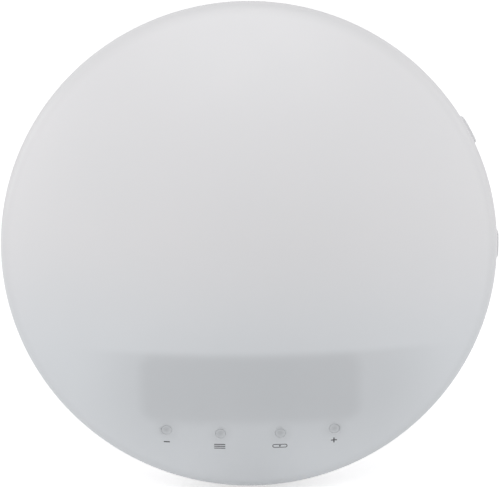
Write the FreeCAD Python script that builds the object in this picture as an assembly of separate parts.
import FreeCAD, Part
import math
import os

# A round bedside sunrise alarm clock: a frosted dome in front of a light chamber, a clock display and
# four small keys under it, two push buttons on the right flank and a tapering housing on a level foot.
# Lengths are millimetres and angles degrees. The lamp is built in its own frame, X to the right, Y to
# the back and Z up the face, with the origin at the centre of its widest ring. Every leaning piece is
# then tilted and set down, so that the table is Z = 0.

# Whole lamp
rim_radius = 125.0
front_rise = 40.0
rim_fillet = 8.0
lean = 6.0
ground_gap = 2.6
housing_depth = 92.0

# Front diffuser
diffuser_wall = 2.4
rim_band = 1.2
spigot_length = 3.8
spigot_wall = 2.0
spigot_gap = 0.2
inner_gap = 0.5

# Rear housing
shadow_gap = 0.6
housing_step = 0.4
housing_wall = 2.4
back_radius = 62.0
side_bulge = 8.0
back_fillet = 8.0
vent_count = 7
vent_pitch = 9.0
vent_width = 3.2
vent_front = 46.0
vent_length = 24.0

# Level foot
foot_setback = 16.0
foot_half_width = 55.0
foot_back_gap = 1.0
foot_draft = 3.0
foot_blend = 6.0
foot_wall = 2.4
foot_drop = 40.0
plate_thickness = 3.2
plate_gap = 0.25
pad_radius = 7.0
pad_proud = 1.2
pad_recess = 1.2
pad_gap = 0.1
pad_inset = 13.0
pad_angle = 50.0
base_screw_angle = 18.0
plate_edge = 1.0
boss_bite = 0.6
base_boss_height = 13.0

# Screws, all of one kind
screw_radius = 1.5
screw_head_radius = 2.9
screw_head_height = 1.8
screw_length = 11.0
screw_slot = 0.7
screw_slot_reach = 1.9
screw_slot_depth = 1.1
pilot_gap = 0.05
pilot_clear = 0.5
pilot_cap = 1.5
boss_wall = 3.0
pass_gap = 0.25
well_gap = 0.6
head_sink = 0.1

# Reflector and light source
reflector_wall = 1.8
lip_inset = 9.0
lip_back = -2.5
throat_gap = 2.7
throat_back = 1.5
bowl_gap = 21.0
bowl_back = 36.0
shelf_rise = 42.1
tower_inset = 37.0
tower_angle = 45.0
tower_front = 30.0
tower_floor = 4.0
light_hole_radius = 40.0
led_board_radius = 45.0
board_thickness = 1.6
board_play = 0.3
spreader_radius = 52.0
spreader_thickness = 2.5
spreader_screw_ring = 48.5
spreader_boss_length = 7.0
led_side = 3.5
led_height = 0.9
led_rings = ((15.0, 6), (31.0, 12))
film_radius = 60.0
film_thickness = 1.5
film_front = 13.0
film_leg_radius = 2.5
film_leg_ring = 50.0
seal_front = -4.2
seal_thickness = 2.4
seal_gap = 0.05

# Display and its carrier
carrier_front = -2.5
carrier_thickness = 2.5
carrier_gap = 0.3
display_half_width = 55.0
display_height = 33.0
display_depth = 8.9
display_wall = 2.0
display_corner = 6.0
window_thickness = 1.2
display_play = 0.2
module_half_width = 45.0
module_height = 24.0
module_depth = 5.0
digit_height = 17.0
digit_width = 10.0
digit_pitch = 19.5
segment_width = 2.0
segment_gap = 0.4
segment_thickness = 0.4

# Front keys
key_half_pitch = {"inner": 15.1, "outer": 42.3}
key_row_inset = 33.9
key_row_arc = 620.0
key_radius = 2.5
key_gap = 0.1
key_travel = 0.6
key_collar_radius = 4.0
key_collar_gap = 0.25
key_collar_thickness = 1.6
key_stem_radius = 1.6
key_dimple_depth = 0.4
key_dimple_radius = 2.2
key_names = ("minus", "menu", "select", "plus")
key_board_stand = 2.0
key_board_half_width = 50.0
key_board_height = 13.0
key_board_corner = 3.2

# Switches, all of one kind
switch_side = 6.0
switch_height = 3.5
plunger_radius = 1.75
plunger_proud = 1.0
plunger_sunk = 0.4
plunger_gap = 0.1
switch_clear = 0.8

# Flank buttons
flank_angles = {"light": 28.0, "sound": 0.0}
flank_depth = 6.2
flank_length = 15.5
flank_width = 5.6
flank_proud = 2.2
flank_gap = 0.2
flank_travel = 0.8
flank_edge = 0.6
flank_flange = 1.4
flank_flange_gap = 0.25
flank_flange_inset = 7.8
flank_stem_width = 3.0
flank_board_inset = 19.5
flank_board_length = 16.0
flank_board_width = 10.0
flank_board_shift = 0.8
pocket_wall = 2.0
pocket_gap = 0.15

# Main board, power inlet and speaker
board_half_width = 50.0
board_low = -44.0
board_high = 40.0
board_setback = 32.0
chips = ((-8.0, -24.0, 14.0, 14.0), (14.0, 12.0, 10.0, 18.0))
chip_height = 1.8
connectors = ((-38.0, -26.0, 8.0, 6.0), (38.0, -12.0, 16.0, 5.0))
capacitors = ((36.0, 4.0, 4.0, 9.0), (36.0, 16.0, 4.0, 9.0), (24.0, 30.0, 3.0, 7.0))
post_radius = 3.2
post_inset = 4.0
inlet_x = 28.0
inlet_z = -30.0
inlet_radius = 5.75
inlet_depth = 16.0
inlet_wall = 2.0
barrel_radius = 2.9
barrel_depth = 11.0
barrel_gap = 0.4
socket_width = 10.0
contact_radius = 1.0
contact_short = 1.0
speaker_x = -24.0
speaker_z = 4.0
speaker_radius = 26.0
speaker_flange = 4.0
speaker_flange_thickness = 1.6
speaker_depth = 13.0
speaker_neck_radius = 13.0
speaker_sheet = 1.0
magnet_radius = 16.0
magnet_thickness = 7.0
cone_sheet = 0.6
cone_neck_radius = 6.5
cone_depth = 7.0
dust_cap_rise = 2.6
surround_width = 2.4
speaker_play = 0.3
speaker_edge = 0.05
grille_hole_radius = 1.3
grille_pitch = 5.4
grille_rings = 3

# Wires
lead_radius = 1.0
lead_gap = 0.6
lead_out = 6.0
lead_share = 0.42
light_x = -20.0
light_z = -20.0
flank_lead_in = 14.5
flank_lead_depth = 34.0
flank_lead_side = 10.0
landing_share = 0.66
flank_landings = {"light": 12.0, "sound": 0.0}
speaker_lead_angle = -45.0
speaker_lead_side = 12.0
speaker_lead_low = 10.0
ribbon_x = 38.0
ribbon_width = 14.0
ribbon_thickness = 0.6
ribbon_slot = 1.2
ribbon_height = -12.0
connector_depth = 4.0
arc_share = 0.45

# Where the closing line of every turned surface lies, below +X
seam_angle = 110.0

# How far a cutting shape runs past what it cuts
past = 1.0

X = FreeCAD.Vector(1, 0, 0)
Y = FreeCAD.Vector(0, 1, 0)
Z = FreeCAD.Vector(0, 0, 1)
ORIGIN = FreeCAD.Vector(0, 0, 0)
TURN = math.radians(lean)

cap_radius = ((rim_radius - rim_fillet) ** 2 + front_rise**2 - rim_fillet**2) / (
    2 * (front_rise - rim_fillet)
)
cap_centre = cap_radius - front_rise
join_angle = math.atan2(rim_radius - rim_fillet, cap_centre)

housing_front = rim_band + shadow_gap
housing_back = housing_depth - housing_wall
spigot_back = rim_band + spigot_length

flank_flange_floor = rim_radius - flank_flange_inset
flank_board_floor = rim_radius - flank_board_inset
lip_radius = rim_radius - lip_inset
throat_radius = flank_board_floor - reflector_wall - throat_gap
tower_radius = rim_radius - tower_inset
bowl_radius = tower_radius - bowl_gap
key_row_low = key_row_inset - rim_radius
shelf_height = key_row_low + shelf_rise
board_back = housing_depth - board_setback


def side_circle():
    """Centre and radius of the arc that is the housing's side, from its front edge to its back."""
    start = (rim_radius - housing_step, housing_front)
    end = (back_radius, housing_depth)
    chord = math.dist(start, end)
    radius = (chord**2 / 4 + side_bulge**2) / (2 * side_bulge)
    normal = ((end[1] - start[1]) / chord, (start[0] - end[0]) / chord)
    middle = ((start[0] + end[0]) / 2, (start[1] + end[1]) / 2)
    back = radius - side_bulge
    return (middle[0] - back * normal[0], middle[1] - back * normal[1]), radius


side_centre, side_radius = side_circle()


def side_reach(depth, inset):
    """Radius of the housing's side at a depth, set in by a distance."""
    across = (side_radius - inset) ** 2 - (depth - side_centre[1]) ** 2
    return side_centre[0] + math.sqrt(across)


def dome_depth(x, z, inset):
    """Y of the dome's surface in front of a point of the face, set in by a distance."""
    return cap_centre - math.sqrt((cap_radius - inset) ** 2 - x**2 - z**2)


spigot_radius = side_reach(spigot_back, housing_wall) - spigot_gap
bore_radius = spigot_radius - spigot_wall

front_tip = cap_centre * math.cos(TURN) - cap_radius
back_tip = (
    (housing_depth - back_fillet) * math.cos(TURN)
    + (back_radius - back_fillet) * math.sin(TURN)
    + back_fillet
)
middle_depth = (front_tip + back_tip) / 2
ring_height = rim_radius * math.cos(TURN) + rim_band * math.sin(TURN) + ground_gap


def standing(shape):
    """A leaning piece, tilted back and set down over the table."""
    moved = shape.copy()
    moved.rotate(ORIGIN, X, -lean)
    moved.translate(FreeCAD.Vector(0, -middle_depth, ring_height))
    return moved


def section(point):
    """A radius and a depth, as a point of the half plane that is turned about the lamp's axis."""
    return FreeCAD.Vector(point[0], point[1], 0)


def closed_wire(place, start, *steps):
    """Closed wire from a start: a point is a straight run to it, a pair an arc by way of the first."""
    edges = []
    here = start
    for step in steps + (start,):
        if isinstance(step[0], tuple):
            there = step[1]
            edges.append(Part.Arc(place(here), place(step[0]), place(there)).toShape())
        else:
            there = step
            edges.append(Part.LineSegment(place(here), place(there)).toShape())
        here = there
    return Part.Wire(edges)


def turned(start, *steps):
    """Solid of revolution about the lamp's axis, with its seam turned down, clear of the fittings."""
    solid = Part.Face(closed_wire(section, start, *steps)).revolve(ORIGIN, Y, 360)
    solid.rotate(ORIGIN, Y, seam_angle)
    return solid


def rod(x, z, radius, front, back):
    """Cylinder along the lamp's axis."""
    return Part.makeCylinder(radius, back - front, FreeCAD.Vector(x, front, z), Y)


def block(left, right, front, back, low, high):
    """Box with its faces square to the lamp's frame."""
    corner = FreeCAD.Vector(left, front, low)
    return Part.makeBox(right - left, back - front, high - low, corner)


def tube(x, z, outer, inner, front, back):
    """Ring or pipe along the lamp's axis."""
    return rod(x, z, outer, front, back).cut(rod(x, z, inner, front, back))


def around(shape, angle):
    """A piece that lies along +X, swung up round the lamp's axis by an angle."""
    moved = shape.copy()
    moved.rotate(ORIGIN, Y, -angle)
    return moved


def polar(radius, angle):
    """X and Z of a point of the face, at a radius and an angle above +X."""
    turn = math.radians(angle)
    return radius * math.cos(turn), radius * math.sin(turn)


def group(shapes):
    """Separate solids of one kind, kept together."""
    return Part.makeCompound([solid for shape in shapes for solid in shape.Solids])


def union(first, *others):
    """One solid of several that run into each other."""
    return first.multiFuse(list(others)).removeSplitter()


def dome(inset, back):
    """Everything behind the dome's surface, set in by a distance, back to a depth."""
    fillet = rim_fillet - inset
    cap = cap_radius - inset
    rim = rim_radius - inset
    half = (math.pi / 2 - join_angle) / 2
    centre = rim_radius - rim_fillet
    fillet_middle = (centre + fillet * math.cos(half), -fillet * math.sin(half))
    join = (cap * math.sin(join_angle), cap_centre - cap * math.cos(join_angle))
    cap_middle = (cap * math.sin(join_angle / 2), cap_centre - cap * math.cos(join_angle / 2))
    tip = (0, cap_centre - cap)
    return turned((0, back), (rim, back), (rim, 0), (fillet_middle, join), (cap_middle, tip))


def housing_body(inset, front):
    """Everything inside the housing's outside, set in by a distance, from a depth to the back."""
    back = housing_depth - inset
    middle = (front + back) / 2
    body = turned(
        (0, front),
        (side_reach(front, inset), front),
        ((side_reach(middle, inset), middle), (side_reach(back, inset), back)),
        (0, back),
    )
    edges = [e for e in body.Edges if e.BoundBox.YMin > back - 0.01 and e.Length > back_radius]
    return body.makeFillet(back_fillet - inset, edges)


def screw():
    """Pan head screw along +Z, with the seat of its head at zero and the head below."""
    head = Part.makeCylinder(screw_head_radius, screw_head_height, ORIGIN, -Z)
    shank = Part.makeCylinder(screw_radius, screw_length, ORIGIN, Z)
    low = FreeCAD.Vector(-screw_slot_reach, -screw_slot / 2, -screw_head_height)
    slot = Part.makeBox(2 * screw_slot_reach, screw_slot, screw_slot_depth, low)
    cross = slot.copy()
    cross.rotate(ORIGIN, Z, 90)
    return union(head, shank).cut(slot).cut(cross)


def placed_screw(seat, direction):
    """A screw with the seat of its head at a point and its shank along a direction."""
    piece = screw()
    piece.Placement = FreeCAD.Placement(seat, FreeCAD.Rotation(Z, direction))
    return piece


def pilot(x, z, front, back):
    """Hole that a screw's shank cuts its thread in."""
    return rod(x, z, screw_radius + pilot_gap, front, back)


def stadium(length, width, low, high):
    """Bar along +X with round ends, long along Z and centred on the flank buttons' depth."""
    radius = width / 2
    straight = length / 2 - radius
    outline = closed_wire(
        lambda point: FreeCAD.Vector(low, flank_depth + point[0], point[1]),
        (-radius, -straight),
        ((0, -straight - radius), (radius, -straight)),
        (radius, straight),
        ((0, straight + radius), (-radius, straight)),
    )
    return Part.Face(outline).extrude(X * (high - low))


def key_row_height(x):
    """Height of the key row at a distance from the middle."""
    return key_row_low + x**2 / (2 * key_row_arc)


def key_places():
    """X and Z of the four front keys, on a row that hangs in a gentle arc."""
    across = [-key_half_pitch["outer"], -key_half_pitch["inner"]]
    across += [key_half_pitch["inner"], key_half_pitch["outer"]]
    return {name: (x, key_row_height(x)) for name, x in zip(key_names, across)}


KEYS = key_places()
TOWERS = [polar(tower_radius, quarter * 90 + tower_angle) for quarter in range(4)]

key_board_back = carrier_front - key_board_stand
key_board_front = key_board_back - board_thickness
key_switch_front = key_board_front - switch_height
switch_depth = plunger_sunk + max(key_travel, flank_travel) + switch_clear
key_plunger_front = key_switch_front - plunger_proud

flank_board_top = flank_board_floor + board_thickness
flank_switch_top = flank_board_top + switch_height
flank_plunger_top = flank_switch_top + plunger_proud
pocket_half = flank_length / 2 + flank_flange + pocket_gap + pocket_wall


def front_diffuser():
    """Frosted dome with a spigot that goes inside the housing's edge."""
    outer = union(dome(0, rim_band), rod(0, 0, spigot_radius, 0, spigot_back))
    hollow = dome(diffuser_wall, spigot_back + past).common(
        rod(0, 0, bore_radius, -front_rise, spigot_back + past)
    )
    shell = outer.cut(hollow)
    holes = [rod(x, z, key_radius + key_gap, -front_rise, 0) for x, z in KEYS.values()]
    half = pocket_half + pocket_gap
    notch = block(lip_radius, rim_radius, rim_band, spigot_back + past, -half, half)
    notches = [around(notch, angle) for angle in flank_angles.values()]
    return shell.cut(holes + notches)


def key_cap(x, z):
    """Key in the dome, with a collar behind the wall and a stem down to its switch."""
    collar_front = dome_depth(x, z, diffuser_wall + key_collar_gap)
    collar_back = collar_front + key_collar_thickness
    top = rod(x, z, key_radius, -front_rise, collar_back).common(dome(0, past))
    collar = rod(x, z, key_collar_radius, -front_rise, collar_back).common(
        dome(diffuser_wall + key_collar_gap, past)
    )
    stem = rod(x, z, key_stem_radius, collar_front, key_plunger_front)
    outward = FreeCAD.Vector(x, dome_depth(x, z, 0) - cap_centre, z)
    outward.normalize()
    ball = (key_dimple_radius**2 + key_dimple_depth**2) / (2 * key_dimple_depth)
    face = FreeCAD.Vector(x, dome_depth(x, z, 0), z)
    dimple = Part.makeSphere(ball, face + outward * (ball - key_dimple_depth))
    return union(top, collar, stem).cut(dimple)


def key_plunger(x, z):
    """Round actuator of one front switch."""
    return rod(x, z, plunger_radius, key_plunger_front, key_switch_front + plunger_sunk)


def key_switches():
    """Bodies of the four front switches, each with the bore that its actuator slides in."""
    bodies = []
    half = switch_side / 2
    for x, z in KEYS.values():
        body = block(x - half, x + half, key_switch_front, key_board_front, z - half, z + half)
        bore = rod(
            x, z, plunger_radius + plunger_gap, key_switch_front, key_switch_front + switch_depth
        )
        bodies.append(body.cut(bore))
    return group(bodies)


def key_board_posts():
    """X and Z of the posts and screws that hold the key board, between the keys."""
    between = (key_half_pitch["inner"] + key_half_pitch["outer"]) / 2
    return [(side * between, key_row_height(between)) for side in (-1, 1)]


def key_board():
    """Printed board of the four front switches."""
    low = key_row_low - key_board_height / 2
    high = key_row_low + key_board_height / 2
    half = key_board_half_width
    board = block(-half, half, key_board_front, key_board_back, low, high)
    upright = [e for e in board.Edges if abs(e.Length - board_thickness) < 0.01]
    board = board.makeFillet(key_board_corner, upright)
    holes = [
        rod(x, z, screw_radius + pass_gap, key_board_front, key_board_back)
        for x, z in key_board_posts()
    ]
    return board.cut(holes)


def flank_cap(angle):
    """Push button on the flank, with a flange inside the wall and a stem down to its switch."""
    bar = stadium(flank_length, flank_width, flank_flange_floor, rim_radius + flank_proud)
    bar = bar.common(housing_body(-flank_proud, 0))
    rim = [e for e in bar.Edges if e.BoundBox.XMin > flank_flange_floor + past]
    rim = [e for e in rim if e.BoundBox.YLength > flank_edge or e.BoundBox.ZLength > flank_edge]
    bar = bar.makeFillet(flank_edge, rim)
    wide = stadium(
        flank_length + 2 * flank_flange,
        flank_width + 2 * flank_flange,
        flank_flange_floor,
        rim_radius,
    )
    flange = wide.common(housing_body(housing_wall + flank_flange_gap, 0))
    half = flank_stem_width / 2
    stem = block(
        flank_plunger_top,
        flank_flange_floor + past,
        flank_depth - half,
        flank_depth + half,
        -half,
        half,
    )
    return around(union(bar, flange, stem), angle)


def flank_plunger(angle):
    """Round actuator of one flank switch."""
    low = FreeCAD.Vector(flank_switch_top - plunger_sunk, flank_depth, 0)
    return around(Part.makeCylinder(plunger_radius, plunger_proud + plunger_sunk, low, X), angle)


def flank_switches():
    """Bodies of the two flank switches."""
    half = switch_side / 2
    body = block(
        flank_board_top, flank_switch_top, flank_depth - half, flank_depth + half, -half, half
    )
    low = FreeCAD.Vector(flank_switch_top - switch_depth, flank_depth, 0)
    bore = Part.makeCylinder(plunger_radius + plunger_gap, switch_depth, low, X)
    return group([around(body.cut(bore), angle) for angle in flank_angles.values()])


flank_board_back = flank_depth + flank_board_width / 2 + flank_board_shift


def flank_boards():
    """Two small boards that carry the flank switches, standing in the housing's pockets."""
    half = flank_board_length / 2
    board = block(
        flank_board_floor,
        flank_board_top,
        flank_board_back - flank_board_width,
        flank_board_back,
        -half,
        half,
    )
    return group([around(board, angle) for angle in flank_angles.values()])


def reflector_profile(shift):
    """Solid of the light chamber's outside, or of its inside when shifted in by its wall."""
    return turned(
        (0, -front_rise - past),
        (lip_radius - shift, -front_rise - past),
        (lip_radius - shift, lip_back - shift),
        (throat_radius - shift, throat_back - shift),
        (bowl_radius - shift, bowl_back - shift),
        (0, bowl_back - shift),
    )


def above(height):
    """Everything of the lamp's front above a height."""
    front = -front_rise - 2 * past
    return block(-rim_radius, rim_radius, front, housing_depth, height, rim_radius)


def spreader_places():
    """X and Z of the four screws that hold the light source on the reflector's back."""
    return [polar(spreader_screw_ring, 45 + 90 * index) for index in range(4)]


def reflector():
    """White bowl of the light chamber, with the shelf that closes it over the display."""
    shelf_low = shelf_height - reflector_wall
    outer = reflector_profile(0).common(dome(diffuser_wall + inner_gap, bowl_back + past))
    outer = outer.common(above(shelf_low))
    boss_radius = screw_radius + boss_wall
    bosses = [rod(x, z, boss_radius, throat_back, tower_front) for x, z in TOWERS if z > 0]
    inner = reflector_profile(reflector_wall).common(above(shelf_height))
    bowl = union(union(outer, *bosses).cut(inner), *spreader_bosses())
    hole_front = bowl_back - reflector_wall - past
    light_hole = rod(0, 0, light_hole_radius, hole_front, bowl_back + past)
    pilots = [
        pilot(x, z, tower_front - screw_length, tower_front + past) for x, z in TOWERS if z > 0
    ]
    tip = spreader_back - screw_length - pilot_clear
    through = [pilot(x, z, tip, bowl_back + past) for x, z in spreader_places()]
    return bowl.cut([light_hole] + pilots + through)


led_board_back = bowl_back + board_thickness
spreader_back = led_board_back + spreader_thickness


def led_board():
    """Round board of the light source, pressed to the back of the reflector."""
    return rod(0, 0, led_board_radius, bowl_back, led_board_back)


def leds():
    """White light emitters in two rings, inside the reflector's back opening."""
    half = led_side / 2
    chips = []
    for radius, count in led_rings:
        chip = block(radius - half, radius + half, bowl_back - led_height, bowl_back, -half, half)
        chips += [around(chip, 360 / count * index) for index in range(count)]
    return group(chips)


def heat_spreader():
    """Aluminium plate behind the light source, with a rim that reaches the reflector."""
    plate = rod(0, 0, spreader_radius, led_board_back, spreader_back)
    rim = tube(0, 0, spreader_radius, led_board_radius + board_play, bowl_back, led_board_back)
    front = bowl_back - past
    back = spreader_back + past
    holes = [rod(x, z, screw_radius + pass_gap, front, back) for x, z in spreader_places()]
    holes.append(rod(light_x, light_z, lead_radius + lead_gap, front, back))
    return union(plate, rim).cut(holes)


def spreader_bosses():
    """Solid pads inside the bowl that take the light source's screws."""
    front = bowl_back - reflector_wall - spreader_boss_length
    return [
        rod(x, z, screw_radius + boss_wall / 2, front, bowl_back - reflector_wall)
        for x, z in spreader_places()
    ]


def diffusing_film():
    """Frosted disc on four legs in front of the light source."""
    disc = rod(0, 0, film_radius, film_front, film_front + film_thickness)
    floor = bowl_back - reflector_wall
    legs = [
        rod(*polar(film_leg_ring, 90 * index), film_leg_radius, film_front, floor)
        for index in range(4)
    ]
    low = above(shelf_height + inner_gap)
    return union(disc, *legs).common(low)


def light_seal():
    """Foam ring between the diffuser's bore and the edge of the reflector and carrier."""
    outer = bore_radius - seal_gap
    inner = lip_radius + seal_gap
    return tube(0, 0, outer, inner, seal_front, seal_front + seal_thickness)


display_high = shelf_height - reflector_wall - carrier_gap
display_low = display_high - display_height
display_middle = (display_high + display_low) / 2
display_front = carrier_front - display_depth


def below(height):
    """Everything of the lamp's front below a height."""
    front = -front_rise - 2 * past
    return block(-rim_radius, rim_radius, front, housing_depth, -rim_radius, height)


def display_carrier():
    """Plate under the shelf that carries the display and the key board."""
    carrier_back = carrier_front + carrier_thickness
    plate = rod(0, 0, lip_radius, carrier_front, carrier_back).common(below(display_high))
    boss_radius = screw_radius + boss_wall
    low_towers = [(x, z) for x, z in TOWERS if z < 0]
    bosses = [rod(x, z, boss_radius, carrier_front, tower_front) for x, z in low_towers]
    pilot_back = key_board_front + screw_length + pilot_clear
    posts = [
        rod(x, z, screw_radius + boss_wall / 2, key_board_back, pilot_back + pilot_cap)
        for x, z in key_board_posts()
    ]
    body = union(plate, *(bosses + posts))
    pilots = [pilot(x, z, tower_front - screw_length, tower_front + past) for x, z in low_towers]
    pilots += [pilot(x, z, key_board_back - past, pilot_back) for x, z in key_board_posts()]
    across = ribbon_width / 2 + ribbon_slot
    half = ribbon_thickness / 2 + ribbon_slot
    slot = block(
        ribbon_x - across,
        ribbon_x + across,
        carrier_front - past,
        carrier_back + past,
        display_middle - half,
        display_middle + half,
    )
    return body.cut(pilots + [slot])


def rounded_panel(half_width, low, high, front, back, corner):
    """Plate square to the lamp's axis with rounded corners."""
    panel = block(-half_width, half_width, front, back, low, high)
    upright = [e for e in panel.Edges if abs(e.BoundBox.YLength - (back - front)) < 0.01]
    return panel.makeFillet(corner, upright)


def display_frame():
    """Dark light box round the display."""
    outer = rounded_panel(
        display_half_width, display_low, display_high, display_front, carrier_front, display_corner
    )
    inner = rounded_panel(
        display_half_width - display_wall,
        display_low + display_wall,
        display_high - display_wall,
        display_front - past,
        carrier_front + past,
        display_corner - display_wall,
    )
    return outer.cut(inner)


def display_window():
    """Smoked sheet over the display."""
    return rounded_panel(
        display_half_width,
        display_low,
        display_high,
        display_front - window_thickness,
        display_front,
        display_corner,
    )


def display_board():
    """Printed board of the clock display."""
    inset = display_wall + display_play
    return rounded_panel(
        display_half_width - inset,
        display_low + inset,
        display_high - inset,
        carrier_front - board_thickness,
        carrier_front,
        display_corner - display_wall,
    )


module_back = carrier_front - board_thickness
module_front = module_back - module_depth


def display_module():
    """Moulded block that holds the digits."""
    return block(
        -module_half_width,
        module_half_width,
        module_front,
        module_back,
        display_middle - module_height / 2,
        display_middle + module_height / 2,
    )


def segment(x, z, across, along):
    """One bar of a digit, centred on a point."""
    front = module_front - segment_thickness
    return block(x - across / 2, x + across / 2, front, module_front, z - along / 2, z + along / 2)


def digit_segments():
    """Four digits of seven bars each, with the two dots between hours and minutes."""
    bars = []
    side = (digit_width - segment_width) / 2
    tall = (digit_height - segment_width) / 2
    long_bar = tall - segment_width - 2 * segment_gap
    wide_bar = digit_width - 2 * segment_width - 2 * segment_gap
    for index in range(4):
        x = (index - 1.5) * digit_pitch
        for level in (-1, 0, 1):
            bars.append(segment(x, display_middle + level * tall, wide_bar, segment_width))
        for sign in (-1, 1):
            for half in (-0.5, 0.5):
                z = display_middle + half * tall
                bars.append(segment(x + sign * side, z, segment_width, long_bar + segment_width))
    for sign in (-1, 1):
        bars.append(segment(0, display_middle + sign * tall / 2, segment_width, segment_width))
    return group(bars)


def board_posts():
    """X and Z of the four posts that hold the main board."""
    across = board_half_width - post_inset
    heights = (board_low + post_inset, board_high - post_inset)
    return [(side * across, height) for side in (-1, 1) for height in heights]


board_front = board_back - board_thickness


def main_board():
    """Printed board of the clock, the light driver and the sound."""
    board = block(
        -board_half_width, board_half_width, board_front, board_back, board_low, board_high
    )
    holes = [
        rod(x, z, screw_radius + pass_gap, board_front - past, board_back + past)
        for x, z in board_posts()
    ]
    return board.cut(holes)


def board_parts():
    """Chips and connectors on the main board's front and capacitors on its back."""
    parts = []
    flat = [chip + (chip_height,) for chip in chips]
    flat += [connector + (connector_depth,) for connector in connectors]
    for x, z, width, height, depth in flat:
        half = width / 2
        low = z - height / 2
        high = z + height / 2
        parts.append(block(x - half, x + half, board_front - depth, board_front, low, high))
    for x, z, radius, length in capacitors:
        parts.append(rod(x, z, radius, board_back, board_back + length))
    return group(parts)


inlet_floor = housing_depth - inlet_depth
socket_back = inlet_floor - inlet_wall


def dc_socket():
    """Upright power socket on the main board, with its mouth under the inlet's floor."""
    half = socket_width / 2
    body = block(
        inlet_x - half, inlet_x + half, board_back, socket_back, inlet_z - half, inlet_z + half
    )
    return body.cut(rod(inlet_x, inlet_z, barrel_radius, socket_back - barrel_depth, socket_back))


def dc_contact():
    """Centre contact of the power socket."""
    return rod(
        inlet_x, inlet_z, contact_radius, socket_back - barrel_depth, socket_back - contact_short
    )


def speaker_turned(start, *steps):
    """Solid of revolution about the speaker's axis."""
    shape = turned(start, *steps)
    shape.translate(FreeCAD.Vector(speaker_x, 0, speaker_z))
    return shape


speaker_front = housing_back - speaker_depth
flange_front = housing_back - speaker_flange_thickness
surround_radius = speaker_radius - speaker_flange
cone_radius = surround_radius - surround_width - speaker_edge


def speaker_frame():
    """Pressed basket: a flange on the housing's back and a funnel down to the magnet."""
    funnel = speaker_radius - speaker_flange
    return speaker_turned(
        (speaker_radius, housing_back),
        (funnel, housing_back),
        (funnel, flange_front),
        (speaker_neck_radius - speaker_sheet, speaker_front + speaker_sheet),
        (speaker_neck_radius - 2 * speaker_sheet, speaker_front + speaker_sheet),
        (speaker_neck_radius - 2 * speaker_sheet, speaker_front),
        (speaker_neck_radius, speaker_front),
        (funnel + speaker_sheet, flange_front),
        (speaker_radius, flange_front),
    )


def speaker_magnet():
    """Magnet and pole plates under the basket."""
    return rod(
        speaker_x, speaker_z, magnet_radius, speaker_front - magnet_thickness, speaker_front
    )


cone_back = flange_front
cone_front = cone_back - cone_depth


def speaker_cone():
    """Paper cone from the surround down to the voice coil."""
    return speaker_turned(
        (cone_radius, cone_back),
        (cone_radius - cone_sheet, cone_back),
        (cone_neck_radius - cone_sheet, cone_front),
        (cone_neck_radius - cone_sheet, speaker_front + speaker_play),
        (cone_neck_radius, speaker_front + speaker_play),
        (cone_neck_radius, cone_front),
    )


def speaker_surround():
    """Rubber roll between the basket and the cone."""
    outer = surround_radius - speaker_edge
    middle = outer - surround_width / 2
    roll = surround_width / 2
    inner = roll - cone_sheet
    return speaker_turned(
        (middle + roll, cone_back),
        ((middle, cone_back + roll), (middle - roll, cone_back)),
        (middle - inner, cone_back),
        ((middle, cone_back + inner), (middle + inner, cone_back)),
    )


def speaker_dust_cap():
    """Small dome over the voice coil."""
    return speaker_turned(
        (0, cone_front + dust_cap_rise),
        (0, cone_front + dust_cap_rise - cone_sheet),
        (cone_neck_radius - 2 * cone_sheet, cone_front),
        (cone_neck_radius - cone_sheet, cone_front),
    )


def grille_holes():
    """Sound holes in rings over the speaker."""
    holes = [rod(speaker_x, speaker_z, grille_hole_radius, housing_back - past, housing_depth + past)]
    for ring in range(1, grille_rings + 1):
        for index in range(6 * ring):
            x, z = polar(ring * grille_pitch, 60 * index / ring)
            holes.append(
                rod(
                    speaker_x + x,
                    speaker_z + z,
                    grille_hole_radius,
                    housing_back - past,
                    housing_depth + past,
                )
            )
    return holes


def pocket(angle):
    """Walls inside the housing that hold one flank button's board, and the space they leave."""
    flange_half = flank_length / 2 + flank_flange + pocket_gap
    flange_back = flank_depth + flank_width / 2 + flank_flange + pocket_gap
    board_half = flank_board_length / 2 + pocket_gap
    floor = flank_board_floor - pocket_wall
    walls_back = flank_board_back + pocket_gap + pocket_wall
    walls = block(floor, rim_radius, housing_front, walls_back, -pocket_half, pocket_half)
    step = flank_flange_floor - flank_travel - 2 * pocket_gap
    wide = block(step, rim_radius, -past, flange_back, -flange_half, flange_half)
    board_back_edge = flank_board_back + pocket_gap
    narrow = block(
        flank_board_floor, step + past, -past, board_back_edge, -board_half, board_half
    )
    low = FreeCAD.Vector(floor - past, flank_depth, 0)
    lead_hole = Part.makeCylinder(lead_radius + lead_gap, pocket_wall + 2 * past, low, X)
    return [around(shape, angle) for shape in (walls, wide, narrow, lead_hole)]


foot_top = ring_height - foot_drop
foot_front = foot_setback - rim_radius * math.sin(TURN)
heel_depth = housing_depth * math.cos(TURN) - back_radius * math.sin(TURN)
heel_height = ring_height - back_radius * math.cos(TURN) - housing_depth * math.sin(TURN)
foot_back = heel_depth + heel_height * math.tan(math.radians(foot_draft)) - foot_back_gap
foot_half_length = (foot_back - foot_front) / 2
foot_middle = foot_front - middle_depth + foot_half_length


def oval(inset, height):
    """Outline of the foot at a height, set in by a distance. The foot draws in as it rises."""
    inset += math.tan(math.radians(foot_draft)) * height
    half_width = foot_half_width - inset
    half_length = foot_half_length - inset
    wide = max(half_width, half_length)
    narrow = min(half_width, half_length)
    outline = Part.Ellipse(ORIGIN, wide, narrow).toShape()
    if half_length > half_width:
        outline.rotate(ORIGIN, Z, 90)
    outline.translate(FreeCAD.Vector(0, foot_middle, height))
    return Part.Wire(outline)


def foot_prism(inset, low, high):
    """Drafted oval block between two heights over the table."""
    return Part.makeLoft([oval(inset, low), oval(inset, high)], True, True)


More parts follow.
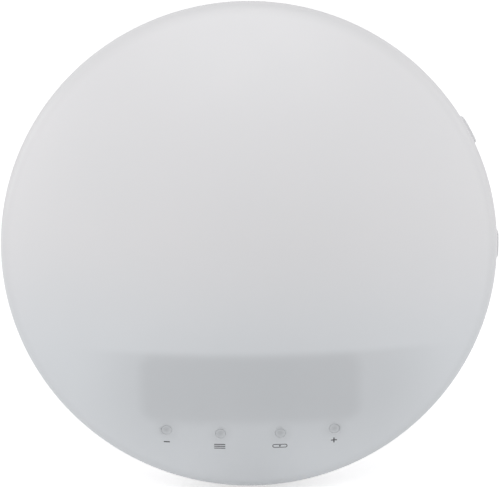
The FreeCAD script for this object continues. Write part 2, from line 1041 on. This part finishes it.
def foot_spots(inset, angle):
    """X and Y of four places just inside the foot's outline, at an angle from its long axis."""
    spots = []
    for turn in (angle, 180 - angle, 180 + angle, 360 - angle):
        x = (foot_half_width - inset) * math.cos(math.radians(turn))
        y = (foot_half_length - inset) * math.sin(math.radians(turn))
        spots.append((x, foot_middle + y))
    return spots


plate_top = pad_proud + plate_thickness
sunk_radius = screw_head_radius + well_gap / 2
base_boss_reach = sunk_radius + plate_edge + plate_gap
BASE_SCREWS = foot_spots(foot_wall + base_boss_reach, base_screw_angle)
PADS = foot_spots(pad_inset, pad_angle)


def upright_rod(x, y, radius, low, high):
    """Cylinder square to the table."""
    return Part.makeCylinder(radius, high - low, FreeCAD.Vector(x, y, low), Z)


def shared_edges(joined, first, second):
    """Edges of a joined solid that lie on the surfaces of both of its halves."""
    edges = []
    for edge in joined.Edges:
        middle = Part.Vertex(edge.valueAt((edge.FirstParameter + edge.LastParameter) / 2))
        gaps = [middle.distToShape(half.Shells[0])[0] for half in (first, second)]
        if max(gaps) < 0.001:
            edges.append(edge)
    return edges


def rear_housing():
    """Tapering shell with its foot, screw wells, board posts, inlet, vents and sound holes."""
    body = standing(housing_body(0, housing_front))
    foot = foot_prism(0, pad_proud, foot_top)
    outside = union(body, foot)
    outside = outside.makeFillet(foot_blend, shared_edges(outside, body, foot))
    hollow = union(
        standing(housing_body(housing_wall, housing_front - past)),
        foot_prism(foot_wall, pad_proud - past, foot_top),
    )
    shell = outside.cut(hollow)
    well_radius = screw_head_radius + well_gap
    tower_outer = well_radius + housing_wall
    inside = housing_body(housing_wall / 2, housing_front)
    solids = [rod(x, z, tower_outer, tower_front, housing_depth) for x, z in TOWERS]
    solids += [rod(x, z, post_radius, board_back, housing_depth) for x, z in board_posts()]
    inlet_outer = inlet_radius + inlet_wall
    solids.append(rod(inlet_x, inlet_z, inlet_outer, socket_back, housing_depth))
    cuts = []
    for angle in flank_angles.values():
        walls, *spaces = pocket(angle)
        solids.append(walls)
        cuts += spaces
    fittings = [standing(solid.common(inside)) for solid in solids]
    bosses = [
        upright_rod(x, y, base_boss_reach + boss_bite, plate_top, plate_top + base_boss_height)
        for x, y in BASE_SCREWS
    ]
    lining = housing_body(housing_wall, -2 * past)
    carved = [standing(cut.common(lining)) for cut in cuts]
    shell = union(shell, *(fittings + bosses)).cut(carved)
    holes = grille_holes()
    for x, z in TOWERS:
        holes.append(rod(x, z, well_radius, tower_front + tower_floor, housing_depth + past))
        holes.append(rod(x, z, screw_radius + pass_gap, tower_front - past, housing_depth))
    for x, z in board_posts():
        holes.append(pilot(x, z, board_back - past, board_front + screw_length + pilot_clear))
    barrel_hole = barrel_radius + barrel_gap
    holes.append(rod(inlet_x, inlet_z, inlet_radius, inlet_floor, housing_depth + past))
    holes.append(rod(inlet_x, inlet_z, barrel_hole, socket_back - past, inlet_floor + past))
    for index in range(vent_count):
        angle = 90 + (index - (vent_count - 1) / 2) * vent_pitch
        half = vent_width / 2
        slot = block(
            back_radius, rim_radius, vent_front, vent_front + vent_length, -half, half
        )
        holes.append(around(slot, angle))
    for angle in flank_angles.values():
        opening = stadium(
            flank_length + 2 * flank_gap,
            flank_width + 2 * flank_gap,
            flank_flange_floor,
            rim_radius + past,
        )
        holes.append(around(opening, angle))
    shell = shell.cut([standing(hole) for hole in holes])
    base_pilots = [
        upright_rod(x, y, screw_radius + pilot_gap, plate_top - past, plate_top + screw_length)
        for x, y in BASE_SCREWS
    ]
    return shell.cut(base_pilots)


base_seat = pad_proud + screw_head_height + head_sink


def base_plate():
    """Plate that closes the foot, with sunk screw seats and recesses for the rubber feet."""
    plate = foot_prism(foot_wall + plate_gap, pad_proud, plate_top)
    cuts = []
    for x, y in BASE_SCREWS:
        cuts.append(upright_rod(x, y, sunk_radius, pad_proud - past, base_seat))
        cuts.append(upright_rod(x, y, screw_radius + pass_gap, base_seat - past, plate_top + past))
    recess_top = pad_proud + pad_recess
    for x, y in PADS:
        cuts.append(upright_rod(x, y, pad_radius + pad_gap, pad_proud - past, recess_top))
    return plate.cut(cuts)


def rubber_feet():
    """Four round rubber feet, sunk in the base plate."""
    return group([upright_rod(x, y, pad_radius, 0, pad_proud + pad_recess) for x, y in PADS])


def base_screws():
    """Screws up through the base plate."""
    return group([placed_screw(FreeCAD.Vector(x, y, base_seat), Z) for x, y in BASE_SCREWS])


def housing_screws():
    """Screws down the housing's wells, into the reflector and the carrier."""
    seat = tower_front + tower_floor
    return group([placed_screw(FreeCAD.Vector(x, seat, z), -Y) for x, z in TOWERS])


def board_screws():
    """Screws of the main board, the key board and the heat spreader."""
    main = [placed_screw(FreeCAD.Vector(x, board_front, z), Y) for x, z in board_posts()]
    keys = [placed_screw(FreeCAD.Vector(x, key_board_front, z), Y) for x, z in key_board_posts()]
    light = [placed_screw(FreeCAD.Vector(x, spreader_back, z), -Y) for x, z in spreader_places()]
    return group(main + keys + light)


def rounded_path(name, points):
    """Wire of straight runs through points, with every corner rounded as far as its runs allow."""
    edges = []
    radii = []
    here = points[0]
    for before, corner, after in zip(points, points[1:], points[2:]):
        inward = before - corner
        outward = after - corner
        reach = arc_share * min(inward.Length, outward.Length)
        half = inward.getAngle(outward) / 2
        inward.normalize()
        outward.normalize()
        bisector = inward + outward
        bisector.normalize()
        radius = reach * math.tan(half)
        start = corner + inward * reach
        end = corner + outward * reach
        middle = corner + bisector * (radius / math.sin(half) - radius)
        edges.append(Part.LineSegment(here, start).toShape())
        edges.append(Part.Arc(start, middle, end).toShape())
        radii.append(round(radius, 1))
        here = end
    edges.append(Part.LineSegment(here, points[-1]).toShape())
    path = Part.Wire(edges)
    print(name, "radii", radii, "length", round(path.Length, 1))
    return path


def lead(name, points):
    """Round insulated lead along a route."""
    path = rounded_path(name, points)
    along = points[1] - points[0]
    ring = Part.Wire(Part.makeCircle(lead_radius, points[0], along))
    return path.makePipeShell([ring], True, False)


def face_point(radius, angle, depth):
    """Point of the lamp at a radius and an angle above +X of the face, and a depth."""
    x, z = polar(radius, angle)
    return FreeCAD.Vector(x, depth, z)


def flank_lead(name):
    """Lead from one flank button's board back to the main board."""
    angle = flank_angles[name]
    edge = board_half_width - post_inset
    landing = FreeCAD.Vector(edge, board_front, flank_landings[name])
    room = board_front - spreader_back
    route = [
        face_point(flank_board_floor, angle, flank_depth),
        face_point(flank_board_floor - lead_out, angle, flank_depth),
        face_point(flank_board_floor - flank_lead_in, angle, flank_lead_depth),
        landing - Y * landing_share * room + X * flank_lead_side,
        landing - Y * lead_share * room,
        landing,
    ]
    return lead(name + "_button_lead", route)


def light_lead():
    """Lead from the main board to the light source's board."""
    x, z = connectors[0][:2]
    top = board_front - connector_depth
    straight = lead_share * (top - spreader_back)
    route = [
        FreeCAD.Vector(x, top, z),
        FreeCAD.Vector(x, top - straight, z),
        FreeCAD.Vector(light_x, spreader_back + straight, light_z),
        FreeCAD.Vector(light_x, led_board_back, light_z),
    ]
    return lead("light_lead", route)


def speaker_lead():
    """Lead from the main board to the speaker's flange."""
    x, z = polar(speaker_radius - speaker_flange / 2, speaker_lead_angle)
    landing = FreeCAD.Vector(speaker_x + x, flange_front, speaker_z + z)
    aside = X * speaker_lead_side - Z * speaker_lead_low
    straight = lead_share * (flange_front - board_back)
    start = FreeCAD.Vector(landing.x, board_back, landing.z) + aside
    route = [start, start + Y * straight, landing - Y * straight, landing]
    return lead("speaker_lead", route)


def display_ribbon():
    """Flat cable from the display's board, through the carrier, to the main board."""
    end = board_front - connector_depth
    turn = (spreader_back + end) / 2
    height = display_middle
    points = [
        FreeCAD.Vector(ribbon_x, carrier_front, height),
        FreeCAD.Vector(ribbon_x, turn, height),
        FreeCAD.Vector(ribbon_x, turn, ribbon_height),
        FreeCAD.Vector(ribbon_x, end, ribbon_height),
    ]
    path = rounded_path("display_ribbon", points)
    half = ribbon_width / 2
    thin = ribbon_thickness / 2
    corners = [(-half, -thin), (half, -thin), (half, thin), (-half, thin)]
    outline = closed_wire(
        lambda c: FreeCAD.Vector(ribbon_x + c[0], carrier_front, height + c[1]), *corners
    )
    return path.makePipeShell([outline], True, False)


def leaning_pieces():
    """Every piece that leans with the face, by name."""
    pieces = {
        "front_diffuser": front_diffuser(),
        "key_board": key_board(),
        "key_switches": key_switches(),
        "flank_boards": flank_boards(),
        "flank_switches": flank_switches(),
        "reflector": reflector(),
        "diffusing_film": diffusing_film(),
        "led_board": led_board(),
        "leds": leds(),
        "heat_spreader": heat_spreader(),
        "light_seal": light_seal(),
        "display_carrier": display_carrier(),
        "display_frame": display_frame(),
        "display_window": display_window(),
        "display_board": display_board(),
        "display_module": display_module(),
        "digit_segments": digit_segments(),
        "main_board": main_board(),
        "board_parts": board_parts(),
        "dc_socket": dc_socket(),
        "dc_contact": dc_contact(),
        "speaker_frame": speaker_frame(),
        "speaker_magnet": speaker_magnet(),
        "speaker_cone": speaker_cone(),
        "speaker_surround": speaker_surround(),
        "speaker_dust_cap": speaker_dust_cap(),
        "housing_screws": housing_screws(),
        "board_screws": board_screws(),
        "light_lead": light_lead(),
        "speaker_lead": speaker_lead(),
        "display_ribbon": display_ribbon(),
    }
    for name, (x, z) in KEYS.items():
        pieces[name + "_key"] = key_cap(x, z)
        pieces[name + "_plunger"] = key_plunger(x, z)
    for name, angle in flank_angles.items():
        pieces[name + "_button"] = flank_cap(angle)
        pieces[name + "_button_plunger"] = flank_plunger(angle)
        pieces[name + "_button_lead"] = flank_lead(name)
    return pieces


def main():
    """Writes one STEP file per piece."""
    pieces = {name: standing(shape) for name, shape in leaning_pieces().items()}
    pieces["rear_housing"] = rear_housing()
    pieces["base_plate"] = base_plate()
    pieces["rubber_feet"] = rubber_feet()
    pieces["base_screws"] = base_screws()
    os.makedirs("parts", exist_ok=True)
    for name, shape in sorted(pieces.items()):
        shape.exportStep("parts/" + name + ".step")
        print(name, len(shape.Solids), "solids", round(shape.Volume / 1000, 2), "cm3")


main()
